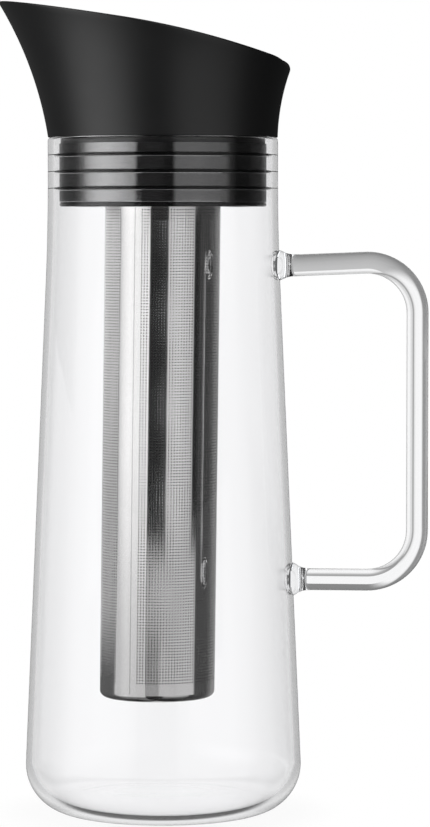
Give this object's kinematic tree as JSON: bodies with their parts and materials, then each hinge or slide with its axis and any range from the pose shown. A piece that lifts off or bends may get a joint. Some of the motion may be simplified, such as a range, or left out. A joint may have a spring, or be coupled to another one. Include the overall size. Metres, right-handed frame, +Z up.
{
  "type": "cold brew carafe",
  "caption": "Glass cold brew carafe with a bent glass-rod handle, a flared pouring lid that plugs into the neck, and a perforated steel filter tube below the lid.",
  "frame": {"origin": "on the jug's axis, in the plane of the foot", "axes": "+Z up along the jug's axis, +X towards the handle, -X towards the pouring lip"},
  "size_m": [0.1544, 0.105, 0.2918],
  "materials": {
    "clear_glass": "polished clear borosilicate glass",
    "soft_black": "soft-touch matte black",
    "gloss_black": "gloss black moulding",
    "black_silicone": "smooth black silicone",
    "filter_steel": "bright perforated stainless sheet"
  },
  "bodies": {
    "carafe": {"glass_body": "clear_glass", "glass_handle": "clear_glass"},
    "lid": {"spout_collar": "soft_black", "plug_core": "gloss_black", "seal_sleeve": "black_silicone", "flap_pin": "filter_steel"},
    "flap": {"pour_flap": "soft_black"},
    "filter": {"filter_tube": "filter_steel", "filter_base": "filter_steel", "filter_collar": "gloss_black", "filter_oring": "black_silicone"}
  },
  "joints": [
    {"name": "lid_lift", "type": "slide", "parent": "carafe", "child": "lid", "axis": [0, 0, 1], "range_m": [0, 0.22]},
    {"name": "flap_tilt", "type": "hinge", "parent": "lid", "child": "flap", "pos_m": [0.002, 0, 0.2533], "axis": [0, 1, 0], "range_deg": [0, 75]},
    {"name": "filter_pull", "type": "slide", "parent": "lid", "child": "filter", "axis": [0, 0, -1], "range_m": [0, 0.02]}
  ]
}
